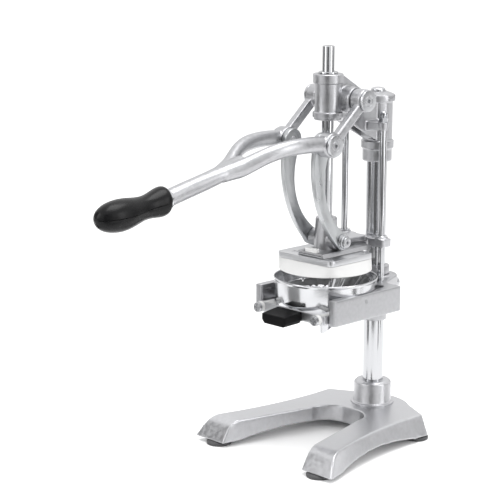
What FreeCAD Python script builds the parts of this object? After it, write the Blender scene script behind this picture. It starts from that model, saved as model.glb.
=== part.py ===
import FreeCAD, Part
import math
import os
import Sketcher

from FreeCAD import Placement, Rotation, Vector

# Lever citrus juice press, in millimetres.
# The model frame has +Z up from the floor and the handle towards -Y.
# Every sub-part is drawn in the press frame, whose Z axis is the ram's axis,
# and its Placement moves it back by ram_y, so that the model's origin lies
# under the middle of the whole press.

SIZES = {
    "ram_y": 111.5,
    # base and feet
    "foot_high": 5.0,
    "foot_radius": 13.5,
    "base_top": 30.5,
    "boss_radius": 22.6,
    "boss_top": 61.0,
    # column and guide rods
    "column_y": 89.1,
    "column_radius": 12.5,
    "column_low": 18.0,
    "column_top": 410.0,
    "rod_x": 29.8,
    "rod_y": 65.1,
    "rod_radius": 4.0,
    "rod_low": 157.0,
    "rod_top": 392.0,
    # top arm
    "lug_low": 376.6,
    "lug_top": 386.6,
    "socket_low": 335.1,
    "socket_top": 415.4,
    "socket_radius": 17.8,
    "arm_half": 11.0,
    "trunnion_radius": 15.0,
    "trunnion_face": 27.0,
    # ram
    "ram_radius": 7.0,
    "ram_top": 478.7,
    "run_gap": 0.05,
    "block_low": 237.5,
    "block_top": 277.6,
    "block_radius": 13.4,
    "cheek_face": 20.2,
    # lever and links
    "pivot_y": 20.0,
    "pivot_z": 416.5,
    "crank_y": -35.0,
    "crank_z": 370.0,
    "eye_z": 251.0,
    "pin_radius": 5.0,
    "eye_radius": 10.0,
    "eye_pin_radius": 4.0,
    "lever_face": 42.7,
    "hub_radius": 13.5,
    "crank_radius": 14.5,
    "link_inner": 20.5,
    "link_thick": 7.0,
    # bracket, cup and front bar
    "bracket_low": 163.5,
    "bracket_top": 194.1,
    "arm_outer": 64.5,
    "arm_inner": 54.0,
    "bracket_front": -53.6,
    "cup_radius": 62.5,
    "cup_rim": 206.7,
    "sheet_thick": 1.2,
    "plate_low": 228.0,
    "plate_top": 234.9,
    "press_low": 216.0,
    "press_radius": 56.0,
    "bar_front": -61.0,
    "bar_back": -58.6,
}

doc = FreeCAD.newDocument("JuicePress")
sheet = doc.addObject("Spreadsheet::Sheet", "Sizes")
for row, (alias, number) in enumerate(SIZES.items(), start=1):
    sheet.set("A%d" % row, alias)
    sheet.set("B%d" % row, str(number))
    sheet.setAlias("B%d" % row, alias)
doc.recompute()

parts = []


def value(text):
    """The number that an expression on the sheet gives; a number stays as it is."""
    if isinstance(text, (int, float)):
        return float(text)
    result = sheet.evalExpression(text)
    return float(getattr(result, "Value", result))


def bind(item, name, text):
    """Set a property to a number, or bind it to an expression on the sheet."""
    if isinstance(text, str):
        item.setExpression(name, text)
    else:
        setattr(item, name, text)


def new_body(label):
    """A body for one sub-part, placed from the press frame into the model frame."""
    body = doc.addObject("PartDesign::Body", label)
    body.Label = label
    body.setExpression("Placement.Base.y", "Sizes.ram_y")
    parts.append(body)
    return body


def new_sketch(body, role, offset=0.0):
    """A sketch on the body's XY, XZ (facing -Y) or YZ plane, moved along its normal."""
    sketch = body.newObject("Sketcher::SketchObject", body.Name + "_sketch")
    plane = next(item for item in body.Origin.OriginFeatures if item.Role == role + "_Plane")
    sketch.AttachmentSupport = (plane, "")
    sketch.MapMode = "FlatFace"
    sketch.AttachmentOffset = Placement(Vector(0, 0, value(offset)), Rotation())
    if isinstance(offset, str):
        sketch.setExpression("AttachmentOffset.Base.z", offset)
    return sketch


def circle(sketch, across, up, radius):
    """A circle whose radius is a constraint, bound to the sheet where it is an expression."""
    shape = Part.Circle(Vector(across, up, 0), Vector(0, 0, 1), value(radius))
    edge = sketch.addGeometry(shape, False)
    rule = sketch.addConstraint(Sketcher.Constraint("Radius", edge, value(radius)))
    if isinstance(radius, str):
        sketch.setExpression("Constraints[%d]" % rule, radius)


def ellipse(sketch, across, up, wide, high):
    """An ellipse with its half-axes along the sketch's own axes."""
    centre = Vector(across, up, 0)
    if abs(wide - high) < 0.01:
        sketch.addGeometry(Part.Circle(centre, Vector(0, 0, 1), wide), False)
    elif wide > high:
        shape = Part.Ellipse(centre + Vector(wide, 0, 0), centre + Vector(0, high, 0), centre)
        sketch.addGeometry(shape, False)
    else:
        shape = Part.Ellipse(centre + Vector(0, high, 0), centre - Vector(wide, 0, 0), centre)
        sketch.addGeometry(shape, False)


def outline(sketch, start, *steps):
    """A closed outline: each step is an end point, or a point on an arc and its end point."""
    here = Vector(start[0], start[1], 0)
    for step in steps:
        if len(step) == 4:
            middle = Vector(step[0], step[1], 0)
            end = Vector(step[2], step[3], 0)
            sketch.addGeometry(Part.Arc(here, middle, end), False)
        else:
            end = Vector(step[0], step[1], 0)
            sketch.addGeometry(Part.LineSegment(here, end), False)
        here = end
    first = Vector(start[0], start[1], 0)
    if (here - first).Length > 1e-6:
        sketch.addGeometry(Part.LineSegment(here, first), False)


def round_box(sketch, left, low, right, high, corner):
    """A rectangle with rounded corners."""
    cut = corner * (1 - math.sqrt(0.5))
    outline(
        sketch,
        (left + corner, low),
        (right - corner, low),
        (right - cut, low + cut, right, low + corner),
        (right, high - corner),
        (right - cut, high - cut, right - corner, high),
        (left + corner, high),
        (left + cut, high - cut, left, high - corner),
        (left, low + corner),
        (left + cut, low + cut, left + corner, low),
    )


def hexagon(sketch, across, up, flats):
    """A hexagon of the given width across flats."""
    corner = flats / math.sqrt(3)
    points = []
    for step in range(6):
        turn = math.radians(60 * step)
        points.append((across + corner * math.cos(turn), up + corner * math.sin(turn)))
    outline(sketch, *points)


def solid(body, kind, sketch, length, reverse=False):
    """A Pad or Pocket of a sketch by a length."""
    feature = body.newObject("PartDesign::" + kind, body.Name + "_" + kind.lower())
    feature.Profile = sketch
    bind(feature, "Length", length)
    feature.Reversed = reverse
    sketch.Visibility = False
    return feature


def pad(body, sketch, length):
    return solid(body, "Pad", sketch, length)


def pocket(body, sketch, length):
    """A pocket along the sketch's normal, away from where a pocket goes by itself."""
    return solid(body, "Pocket", sketch, length, True)


def turned(body, kind, sketch):
    """A full Revolution or Groove of an XZ sketch about the body's vertical axis."""
    feature = body.newObject("PartDesign::" + kind, body.Name + "_" + kind.lower())
    feature.Profile = sketch
    feature.ReferenceAxis = (sketch, ["V_Axis"])
    feature.Angle = 360.0
    return feature


def loft(body, sketches, ruled=False):
    """An AdditiveLoft through sketches."""
    feature = body.newObject("PartDesign::AdditiveLoft", body.Name + "_loft")
    feature.Profile = sketches[0]
    feature.Sections = sketches[1:]
    feature.Ruled = ruled
    return feature


def mirrored(body, features):
    """The features again on the other side of the press's middle plane."""
    feature = body.newObject("PartDesign::Mirrored", body.Name + "_mirrored")
    plane = next(item for item in body.Origin.OriginFeatures if item.Role == "YZ_Plane")
    feature.Originals = features
    feature.MirrorPlane = (plane, [""])
    body.Tip = feature
    return feature


def fillet(body, radius, chosen, kind="Fillet"):
    """Round or bevel those edges of the body's last feature that chosen(edge) picks."""
    doc.recompute()
    base = body.Tip
    names = []
    for number, edge in enumerate(base.Shape.Edges, start=1):
        if chosen(edge):
            names.append("Edge%d" % number)
    feature = body.newObject("PartDesign::" + kind, body.Name + "_" + kind.lower())
    feature.Base = (base, names)
    if kind == "Fillet":
        feature.Radius = radius
    else:
        feature.Size = radius
    return feature


def at_height(level, reach=1e9, tolerance=0.05):
    """Picks edges that lie flat at a height, with their middle within reach of the ram's axis."""
    def test(edge):
        box = edge.BoundBox
        flat = abs(box.ZMin - level) < tolerance and abs(box.ZMax - level) < tolerance
        middle = edge.CenterOfMass
        return flat and math.hypot(middle.x, middle.y) < reach
    return test


def plain_turned(label, profile):
    """A sub-part that is one revolution about the ram's axis of (radius, height) steps."""
    body = new_body(label)
    sketch = new_sketch(body, "XZ")
    outline(sketch, *profile)
    turned(body, "Revolution", sketch)
    return body


def disc(body, y, z, low, high, radius):
    """A round pad along +X between two distances from the middle plane."""
    sketch = new_sketch(body, "YZ", low)
    circle(sketch, y, z, radius)
    return pad(body, sketch, value(high) - value(low))


# Base: a splayed cast foot with two legs, hollow underneath, and the column's boss.


def base_outline(sketch, front, front_outer, waist, rear_outer, rear_back, hub_back):
    inner_front = 64.6
    outline(
        sketch,
        (inner_front, front),
        (front_outer, front),
        (waist, 0.0, rear_outer, rear_back),
        (39.0, rear_back + 20.0),
        (0.0, hub_back, -39.0, rear_back + 20.0),
        (-rear_outer, rear_back),
        (-waist, 0.0, -front_outer, front),
        (-inner_front, front),
        (-37.0, 20.0),
        (-29.0, 41.0, -13.0, 50.0),
        (13.0, 50.0),
        (29.0, 41.0, 37.0, 20.0),
    )


def make_base():
    body = new_body("base")
    low = new_sketch(body, "XY", "Sizes.foot_high")
    base_outline(low, -107.5, 112.9, 90.5, 85.7, 95.5, 131.5)
    top = new_sketch(body, "XY", "Sizes.base_top")
    base_outline(top, -92.0, 101.5, 80.5, 77.0, 93.0, 128.0)
    loft(body, [top, low], ruled=True)
    fillet(body, 8.0, lambda edge: abs(edge.BoundBox.ZMin - value("Sizes.base_top")) < 0.05
           and abs(edge.CenterOfMass.y + 92.0) < 0.5)
    for side in (1, -1):
        hollow = new_sketch(body, "XY", "Sizes.foot_high")
        outline(hollow, (side * 71, -78), (side * 94, -78), (side * 82, 0, side * 75, 66),
                (side * 50, 66), (side * 47, 5))
        pocket(body, hollow, 20.0)
    arch = new_sketch(body, "YZ", -130.0)
    outline(arch, (-84, 0), (-84, 5.0), (-4, 12.5, 76, 5.0), (76, 0))
    pocket(body, arch, 260.0)
    flange = new_sketch(body, "XY", "Sizes.base_top - 2")
    circle(flange, 0, value("Sizes.column_y"), "Sizes.boss_radius + 2.3")
    pad(body, flange, 5.0)
    boss = new_sketch(body, "XY", "Sizes.base_top - 2")
    circle(boss, 0, value("Sizes.column_y"), "Sizes.boss_radius")
    pad(body, boss, "Sizes.boss_top - Sizes.base_top + 2")
    fillet(body, 3.0, at_height(value("Sizes.boss_top")), "Chamfer")
    bore = new_sketch(body, "XY", "Sizes.column_low")
    circle(bore, 0, value("Sizes.column_y"), "Sizes.column_radius")
    pocket(body, bore, 60.0)
    under = new_sketch(body, "XY", 0.0)
    circle(under, 0, value("Sizes.column_y"), 5.0)
    pocket(body, under, 30.0)
    recess = new_sketch(body, "XY", 0.0)
    circle(recess, 0, value("Sizes.column_y"), 10.0)
    pocket(body, recess, 13.0)
    holes = new_sketch(body, "XY", "Sizes.foot_high")
    for x, y in FOOT_PLACES.values():
        circle(holes, x, y, 2.0)
    pocket(body, holes, 11.0)


FOOT_PLACES = {
    "foot_front_right": (82.5, -96.0),
    "foot_front_left": (-82.5, -96.0),
    "foot_rear_right": (71.0, 89.0),
    "foot_rear_left": (-71.0, 89.0),
}


def make_feet():
    for label, (x, y) in FOOT_PLACES.items():
        body = new_body(label)
        disk = new_sketch(body, "XY")
        circle(disk, x, y, "Sizes.foot_radius")
        pad(body, disk, "Sizes.foot_high")
        fillet(body, 1.5, at_height(value("Sizes.foot_high")), "Chamfer")
        head = new_sketch(body, "XY")
        circle(head, x, y, 4.6)
        pocket(body, head, 2.5)
        hole = new_sketch(body, "XY")
        circle(hole, x, y, 2.0)
        pocket(body, hole, 10.0)


def make_foot_screws():
    """Four pan-head screws, one in each foot, as a group of separate solids."""
    pieces = []
    for x, y in FOOT_PLACES.values():
        head = Part.makeCylinder(4.3, 1.7, Vector(x, y, 0.8))
        shank = Part.makeCylinder(2.0, 12.0, Vector(x, y, 2.5))
        slot = Part.makeBox(8.6, 1.0, 0.8, Vector(x - 4.3, y - 0.5, 0.8))
        pieces.append(head.fuse(shank).cut(slot))
    add_shape("foot_screws", Part.makeCompound(pieces))


def add_shape(label, shape):
    """A sub-part whose shape is set here, because no feature suits a group of small solids."""
    item = doc.addObject("Part::Feature", label)
    item.Label = label
    item.Shape = shape
    item.Placement = Placement(Vector(0, value("Sizes.ram_y"), 0), Rotation())
    item.setExpression("Placement.Base.y", "Sizes.ram_y")
    parts.append(item)


# Column, its screws and collar, and the two guide rods.


def upright(label, x, y, radius, low, high, bevel):
    body = new_body(label)
    sketch = new_sketch(body, "XY", low)
    circle(sketch, x, y, radius)
    pad(body, sketch, value(high) - value(low))
    fillet(body, bevel, lambda edge: edge.BoundBox.ZLength < 0.01, "Chamfer")
    return body


def make_column():
    y = value("Sizes.column_y")
    body = upright("column", 0, y, "Sizes.column_radius", "Sizes.column_low", "Sizes.column_top", 1.0)
    for level in (value("Sizes.column_low"), value("Sizes.column_top") - 16.0):
        hole = new_sketch(body, "XY", level)
        circle(hole, 0, y, 5.0)
        pocket(body, hole, 16.0)
    screw = new_body("column_foot_screw")
    head = new_sketch(screw, "XY", 7.0)
    circle(head, 0, y, 8.5)
    pad(screw, head, 6.0)
    socket = new_sketch(screw, "XY", 7.0)
    hexagon(socket, 0, y, 8.0)
    pocket(screw, socket, 4.0)
    shank = new_sketch(screw, "XY", 13.0)
    circle(shank, 0, y, 5.0)
    pad(screw, shank, 19.0)


def make_column_cap():
    """The domed screw on top of the socket, which draws the arm down on the column."""
    y = value("Sizes.column_y")
    top = value("Sizes.socket_top")
    body = new_body("column_cap_screw")
    levels = []
    for rise, radius in ((0.0, 9.8), (3.2, 9.8), (5.6, 8.6), (7.6, 5.6), (8.6, 2.0)):
        level = new_sketch(body, "XY", top + rise)
        circle(level, 0, y, radius)
        levels.append(level)
    loft(body, levels, ruled=True)
    shank = new_sketch(body, "XY", top - 19.5)
    circle(shank, 0, y, 4.9)
    pad(body, shank, 19.5)


def make_guide_rods():
    for label, side in (("guide_rod_right", 1), ("guide_rod_left", -1)):
        x = side * value("Sizes.rod_x")
        upright(label, x, value("Sizes.rod_y"), "Sizes.rod_radius", "Sizes.rod_low", "Sizes.rod_top", 0.6)
    for label, side in (("acorn_nut_right", 1), ("acorn_nut_left", -1)):
        body = new_body(label)
        x = side * value("Sizes.rod_x")
        y = value("Sizes.rod_y")
        nut = new_sketch(body, "XY", "Sizes.lug_top")
        hexagon(nut, x, y, 10.0)
        pad(body, nut, 5.2)
        domes = []
        for rise, radius in ((5.2, 4.7), (9.2, 4.7), (11.4, 4.0), (13.0, 2.4), (13.7, 0.8)):
            level = new_sketch(body, "XY", value("Sizes.lug_top") + rise)
            circle(level, x, y, radius)
            domes.append(level)
        loft(body, domes, ruled=True)
        thread = new_sketch(body, "XY", "Sizes.lug_top")
        circle(thread, x, y, "Sizes.rod_radius")
        pocket(body, thread, value("Sizes.rod_top") - value("Sizes.lug_top"))
    nuts = []
    for side in (1, -1):
        middle = Vector(side * value("Sizes.rod_x"), value("Sizes.rod_y"), value("Sizes.bracket_low") - 5.0)
        corners = []
        for step in range(7):
            turn = math.radians(60 * step)
            corners.append(middle + Vector(6.35 * math.cos(turn), 6.35 * math.sin(turn), 0))
        block = Part.Face(Part.makePolygon(corners)).extrude(Vector(0, 0, 5.0))
        nuts.append(block.cut(Part.makeCylinder(value("Sizes.rod_radius"), 5.0, middle)))
    add_shape("rod_lower_nuts", Part.makeCompound(nuts))


# Top arm: a casting from the ram's guide sleeve back to the column's socket.


def make_top_arm():
    body = new_body("top_arm")
    column_y = value("Sizes.column_y")
    socket = new_sketch(body, "XY", "Sizes.socket_low")
    circle(socket, 0, column_y, "Sizes.socket_radius")
    pad(body, socket, "Sizes.socket_top - Sizes.socket_low")
    top = value("Sizes.socket_top")
    for low, high, radius in ((351.0, 360.0, 19.7), (top - 7.4, top, 20.6)):
        ring = new_sketch(body, "XY", low)
        circle(ring, 0, column_y, radius)
        pad(body, ring, high - low)
    fillet(body, 1.6, at_height(top), "Chamfer")
    sleeve = new_sketch(body, "XZ")
    outline(sleeve, (0, 393.1), (15.0, 393.1), (15.4, 396.0), (15.4, 402.0), (14.2, 403.4), (14.2, 435.6),
            (17.0, 435.6), (17.8, 436.6), (17.8, 445.6), (17.0, 446.6), (0, 446.6))
    turned(body, "Revolution", sleeve)
    web = new_sketch(body, "YZ", "-Sizes.arm_half")
    outline(web, (6, 446.0), (14, 445.0), (48, 425.0), (56, 420.5, 66, 418.0), (79, 415.4),
            (80, 359.0), (33, 384.4), (24, 389.0, 12, 396.0), (6, 398.0))
    pad(body, web, "2 * Sizes.arm_half")
    trunnion = new_sketch(body, "YZ", "-Sizes.trunnion_face")
    circle(trunnion, value("Sizes.pivot_y"), value("Sizes.pivot_z"), "Sizes.trunnion_radius")
    pad(body, trunnion, "2 * Sizes.trunnion_face")
    ears = new_sketch(body, "XY", "Sizes.lug_low")
    x = value("Sizes.rod_x")
    y = value("Sizes.rod_y")
    outline(ears, (-x, y - 5.4), (-14, y - 10), (14, y - 10), (x, y - 5.4),
            (x + 5.4, y, x, y + 5.4), (12, y + 14), (-12, y + 14), (-x, y + 5.4), (-x - 5.4, y, -x, y - 5.4))
    pad(body, ears, "Sizes.lug_top - Sizes.lug_low")
    rims = new_sketch(body, "XY", "Sizes.lug_top - 1.6")
    for side in (1, -1):
        circle(rims, side * x, y, 6.8)
    pad(body, rims, 1.6)
    channel = new_sketch(body, "XY", 350.0)
    outline(channel, (-8, 27), (8, 27), (8, 70), (-8, 70))
    pocket(body, channel, 50.0)
    ram_bore = new_sketch(body, "XY", 390.0)
    circle(ram_bore, 0, 0, 10.0)
    pocket(body, ram_bore, 60.0)
    column_bore = new_sketch(body, "XY", "Sizes.socket_low - 1")
    circle(column_bore, 0, column_y, "Sizes.column_radius")
    pocket(body, column_bore, "Sizes.column_top - Sizes.socket_low + 1")
    cap_hole = new_sketch(body, "XY", 400.0)
    circle(cap_hole, 0, column_y, 5.0)
    pocket(body, cap_hole, 20.0)
    rod_holes = new_sketch(body, "XY", 370.0)
    for side in (1, -1):
        circle(rod_holes, side * x, y, "Sizes.rod_radius")
    pocket(body, rod_holes, 20.0)
    for face, length in (("Sizes.arm_half", 20.0), ("-Sizes.trunnion_face", 20.0)):
        pin_hole = new_sketch(body, "YZ", face)
        circle(pin_hole, value("Sizes.pivot_y"), value("Sizes.pivot_z"), "Sizes.pin_radius")
        pocket(body, pin_hole, 16.0)


def make_ram_bush():
    inner = value("Sizes.ram_radius") + value("Sizes.run_gap")
    plain_turned("ram_bush", [(inner, 394.0), (10.0, 394.0), (10.0, 446.6), (11.6, 446.6), (11.6, 448.2),
                              (10.8, 449.0), (inner, 449.0)])


# Lever: a forked handle whose two cranks turn on the arm's trunnions.


def lever_half(body):
    """The crank, its two eyes and the tine on the +X side."""
    y0 = value("Sizes.pivot_y")
    z0 = value("Sizes.pivot_z")
    y1 = value("Sizes.crank_y")
    z1 = value("Sizes.crank_z")
    face = value("Sizes.lever_face")
    hub = disc(body, y0, z0, value("Sizes.trunnion_face") + 0.3, face, "Sizes.hub_radius")
    crank_eye = disc(body, y1, z1, value("Sizes.link_inner") + value("Sizes.link_thick") + 0.3, face,
                     "Sizes.crank_radius")
    reach = math.hypot(y0 - y1, z0 - z1)
    side = Vector((z0 - z1) / reach, -(y0 - y1) / reach, 0) * 5.8
    strip = new_sketch(body, "YZ", face - 9.0)
    outline(strip, (y0 + side.x, z0 + side.y), (y1 + side.x, z1 + side.y), (y1 - side.x, z1 - side.y),
            (y0 - side.x, z0 - side.y))
    crank = pad(body, strip, 9.0)
    sections = []
    for y, x, z, wide, high in TINE:
        section = new_sketch(body, "XZ", -y)
        ellipse(section, x, z, wide, high)
        sections.append(section)
    tine = loft(body, sections, ruled=True)
    return [hub, crank_eye, crank, tine]


TINE = (
    (-174.0, 3.5, 347.6, 8.6, 9.2),
    (-158.0, 11.0, 353.2, 9.4, 9.2),
    (-140.0, 19.5, 360.2, 9.4, 9.2),
    (-118.0, 27.5, 367.2, 9.0, 9.2),
    (-90.0, 33.0, 372.2, 8.4, 9.2),
    (-60.0, 35.2, 373.0, 7.6, 9.3),
    (-36.0, 35.2, 370.5, 7.2, 9.5),
)

HANDLE_ROD = (
    (-247.0, 332.0, 10.0, 10.0),
    (-232.0, 335.4, 10.0, 10.0),
    (-210.0, 340.0, 10.0, 9.9),
    (-190.0, 344.3, 10.6, 9.7),
    (-176.0, 347.4, 12.6, 9.4),
    (-162.0, 351.6, 16.6, 9.0),
)

GRIP = (
    (-354.5, 320.6, 4.0),
    (-352.0, 320.6, 8.2),
    (-346.0, 320.8, 12.6),
    (-337.0, 321.2, 16.0),
    (-325.0, 321.5, 18.2),
    (-312.0, 321.8, 18.4),
    (-300.0, 322.8, 16.7),
    (-290.0, 324.4, 14.8),
    (-280.0, 326.4, 14.4),
    (-270.0, 328.3, 15.5),
    (-262.0, 329.6, 16.2),
    (-256.0, 330.2, 15.2),
    (-252.0, 330.6, 13.0),
)

TANG_Z = 327.5
TANG_RADIUS = 6.0


def make_lever():
    body = new_body("lever")
    sections = []
    for y, z, wide, high in HANDLE_ROD:
        section = new_sketch(body, "XZ", -y)
        ellipse(section, 0, z, wide, high)
        sections.append(section)
    loft(body, sections, ruled=True)
    tang = new_sketch(body, "XZ", 246.0)
    circle(tang, 0, TANG_Z, TANG_RADIUS)
    pad(body, tang, 66.0)
    mirrored(body, lever_half(body))
    for y, z, radius in (("pivot_y", "pivot_z", "Sizes.pin_radius + Sizes.run_gap"),
                         ("crank_y", "crank_z", "Sizes.pin_radius")):
        hole = new_sketch(body, "YZ", -60.0)
        circle(hole, value("Sizes." + y), value("Sizes." + z), radius)
        pocket(body, hole, 120.0)


def make_grip():
    body = new_body("grip")
    sections = []
    for y, z, radius in GRIP:
        section = new_sketch(body, "XZ", -y)
        circle(section, 0, z, radius)
        sections.append(section)
    loft(body, sections, ruled=True)
    bore = new_sketch(body, "XZ", 240.0)
    circle(bore, 0, TANG_Z, TANG_RADIUS)
    pocket(body, bore, 72.0)
    ferrule = new_body("grip_ferrule")
    ring = new_sketch(ferrule, "XZ", 247.0)
    circle(ring, 0, 331.3, 12.0)
    pad(ferrule, ring, 5.0)
    fillet(ferrule, 1.0, lambda edge: abs(edge.CenterOfMass.y + 247.0) < 0.01, "Chamfer")
    hole = new_sketch(ferrule, "XZ", 240.0)
    circle(hole, 0, TANG_Z, TANG_RADIUS)
    pocket(ferrule, hole, 20.0)


# Bolts: a broad flat head with a hexagon socket, and a shank towards the middle plane.


def side_bolt(label, side, y, z, shank_end, head_low, head_high, head_radius, shank_radius, socket):
    body = new_body(label)
    low = min(side * head_low, side * head_high)
    head = new_sketch(body, "YZ", low)
    circle(head, y, z, head_radius)
    pad(body, head, head_high - head_low)
    outer = side * head_high
    fillet(body, 0.6, lambda edge: abs(edge.CenterOfMass.x - outer) < 0.01, "Chamfer")
    shank = new_sketch(body, "YZ", min(side * shank_end, side * head_low))
    circle(shank, y, z, shank_radius)
    pad(body, shank, head_low - shank_end)
    key = new_sketch(body, "YZ", min(side * (head_high - 2.2), side * head_high))
    hexagon(key, y, z, socket)
    pocket(body, key, 2.2)


def make_pivot_bolts():
    face = value("Sizes.lever_face")
    for name, side in (("right", 1), ("left", -1)):
        side_bolt("pivot_bolt_" + name, side, value("Sizes.pivot_y"), value("Sizes.pivot_z"),
                  11.5, face + 0.3, face + 3.3, 12.7, value("Sizes.pin_radius"), 6.0)
        side_bolt("crank_bolt_" + name, side, value("Sizes.crank_y"), value("Sizes.crank_z"),
                  value("Sizes.link_inner"), face, face + 3.3, 12.7, value("Sizes.pin_radius"), 6.0)


# Links: two bowed flat bars from the cranks down to the ram block.


def make_link(label, side):
    body = new_body(label)
    inner = value("Sizes.link_inner")
    outer = inner + value("Sizes.link_thick")
    low = min(side * inner, side * outer)
    y1 = value("Sizes.crank_y")
    z1 = value("Sizes.crank_z")
    z2 = value("Sizes.eye_z")
    thick = outer - inner
    shape = new_sketch(body, "YZ", low)
    top_front = around(y1, z1, 12.0, 190.0)
    top_back = around(y1, z1, 12.0, -25.0)
    eye = value("Sizes.eye_radius")
    eye_front = around(0, z2, eye, 207.0)
    eye_back = around(0, z2, eye, 61.0)
    outline(shape, top_front, (-47.4, 316.0) + eye_front, around(0, z2, eye, -46.0) + eye_back,
            (-31.3, 311.0) + top_back, around(y1, z1, 12.0, 82.0) + top_front)
    pad(body, shape, thick)
    fillet(body, 1.0, lambda edge: edge.BoundBox.XLength < 0.01, "Chamfer")
    for y, z, radius in ((y1, z1, "Sizes.pin_radius + Sizes.run_gap"), (0, z2, "Sizes.eye_pin_radius")):
        hole = new_sketch(body, "YZ", low - 1.0)
        circle(hole, y, z, radius)
        pocket(body, hole, thick + 2.0)


def around(across, up, radius, degrees):
    """The point at an angle on a circle."""
    turn = math.radians(degrees)
    return (across + radius * math.cos(turn), up + radius * math.sin(turn))


def make_links():
    outer = value("Sizes.link_inner") + value("Sizes.link_thick")
    z2 = value("Sizes.eye_z")
    for name, side in (("right", 1), ("left", -1)):
        make_link("link_" + name, side)
        side_bolt("eye_bolt_" + name, side, 0, z2, value("Sizes.link_inner"), outer + 4.2, outer + 7.0, 6.3,
                  value("Sizes.eye_pin_radius"), 4.0)
        washer = new_body("eye_washer_" + name)
        for low, high, radius in ((outer, outer + 1.6, 9.6), (outer + 1.6, outer + 4.2, 8.0)):
            ring = new_sketch(washer, "YZ", min(side * low, side * high))
            circle(ring, 0, z2, radius)
            pad(washer, ring, high - low)
        hole = new_sketch(washer, "YZ", min(side * (outer - 1.0), side * (outer + 6.0)))
        circle(hole, 0, z2, "Sizes.eye_pin_radius")
        pocket(washer, hole, 7.0)


# Ram: rod, block, yoke on the guide rods, and the press plate with its white block.

FLANGE = (-15.0, -33.0, 24.4, 38.0)
FLANGE_THICK = 2.4


def make_ram():
    rod = upright("ram_rod", 0, 0, "Sizes.ram_radius", 252.0, "Sizes.ram_top", 0.8)
    block = new_body("ram_block")
    low = value("Sizes.block_low")
    body = new_sketch(block, "XZ")
    outline(body, (0, low), (17.0, low), (16.0, low + 4), (13.6, low + 14, 13.4, low + 24),
            (13.4, 275.6), (12.4, 277.6), (0, 277.6))
    turned(block, "Revolution", body)
    flange = new_sketch(block, "XY", "Sizes.block_low")
    round_box(flange, FLANGE[0], FLANGE[1], FLANGE[2], FLANGE[3], 2.0)
    pad(block, flange, FLANGE_THICK)
    cheeks = new_sketch(block, "YZ", "-Sizes.cheek_face")
    outline(cheeks, (-11.0, low), (-11.0, 252.0), (0, 263.0, 11.0, 252.0), (11.0, low))
    pad(block, cheeks, "2 * Sizes.cheek_face")
    rib = new_sketch(block, "YZ", -2.5)
    outline(rib, (-12, low), (-27, low), (-27, low + 6), (-12, 270.0))
    pad(block, rib, 5.0)
    rail = new_sketch(block, "XZ", -FLANGE[3])
    edge = FLANGE[2]
    outline(rail, (edge - 1.0, low + 0.2), (edge - 1.0, low + FLANGE_THICK), (edge, low + FLANGE_THICK),
            (edge + 2.6, low - 2.2), (edge + 0.6, low - 2.2), (edge + 0.6, low + 0.2))
    pad(block, rail, FLANGE[3] - FLANGE[1])
    bore = new_sketch(block, "XY", 252.0)
    circle(bore, 0, 0, "Sizes.ram_radius")
    pocket(block, bore, 40.0)
    return rod


def make_slide_plate():
    """The plate between flange and press plate, stepped in where it meets them."""
    body = new_body("slide_plate")
    low = value("Sizes.plate_top")
    high_face = value("Sizes.block_low")
    for start, high, inset in ((low, low + 0.6, 1.5), (low + 0.6, high_face - 0.5, 0.0),
                               (high_face - 0.5, high_face, 1.5)):
        layer = new_sketch(body, "XY", start)
        round_box(layer, FLANGE[0] + inset, FLANGE[1] + inset, FLANGE[2] - inset, FLANGE[3] - inset, 2.0)
        pad(body, layer, high - start)
    key = new_body("lock_key")
    key_low = high_face + FLANGE_THICK
    shape = new_sketch(key, "XY", key_low)
    round_box(shape, -3.0, -33.0, 15.0, -27.5, 0.8)
    pad(key, shape, 5.0)
    fillet(key, 0.6, at_height(key_low + 5.0), "Chamfer")


def make_press_plate():
    plate = new_body("press_plate")
    shape = new_sketch(plate, "XY", "Sizes.plate_low")
    round_box(shape, -43, -37.5, 43, 37.5, 7.0)
    pad(plate, shape, "Sizes.plate_top - Sizes.plate_low")
    fillet(plate, 0.8, at_height(value("Sizes.plate_top")), "Chamfer")
    holes = new_sketch(plate, "XY", "Sizes.plate_low")
    for x, y in PLATE_SCREWS:
        circle(holes, x, y, 2.5)
    pocket(plate, holes, 10.0)
    block = new_body("press_block")
    top = new_sketch(block, "XY", "Sizes.plate_low")
    round_box(top, -43, -37.5, 43, 37.5, 7.0)
    low = new_sketch(block, "XY", "Sizes.press_low")
    ring = value("Sizes.press_radius")
    turns = [math.atan2(y, x) for x, y in ((36, -37.5), (43, -30.5), (43, 30.5), (36, 37.5),
                                           (-36, 37.5), (-43, 30.5), (-43, -30.5), (-36, -37.5))]
    points = [Vector(ring * math.cos(turn), ring * math.sin(turn), 0) for turn in turns]
    for number in range(8):
        here = points[number]
        there = points[(number + 1) % 8]
        middle = (here + there).normalize() * ring
        low.addGeometry(Part.Arc(here, middle, there), False)
    loft(block, [top, low], ruled=True)
    dome = new_sketch(block, "XZ")
    base = value("Sizes.press_low")
    outline(dome, (0, base), (50.0, base), (38.0, base - 4.5), (20.0, base - 7.2), (0, base - 8.0))
    turned(block, "Revolution", dome)
    holes = new_sketch(block, "XY", 220.0)
    for x, y in PLATE_SCREWS:
        circle(holes, x, y, 2.5)
    pocket(block, holes, 9.0)


PLATE_SCREWS = ((-28.0, -24.0), (-28.0, 24.0), (34.0, -28.0), (34.0, 28.0))


def make_plate_screws():
    """Four screws that hold the white block to the plate, as separate solids."""
    top = value("Sizes.plate_top")
    pieces = []
    for x, y in PLATE_SCREWS:
        shank = Part.makeCylinder(2.5, 12.5, Vector(x, y, top - 12.5))
        head = Part.makeCylinder(4.2, 2.2, Vector(x, y, top))
        pieces.append(head.fuse(shank))
    add_shape("plate_screws", Part.makeCompound(pieces))


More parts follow.
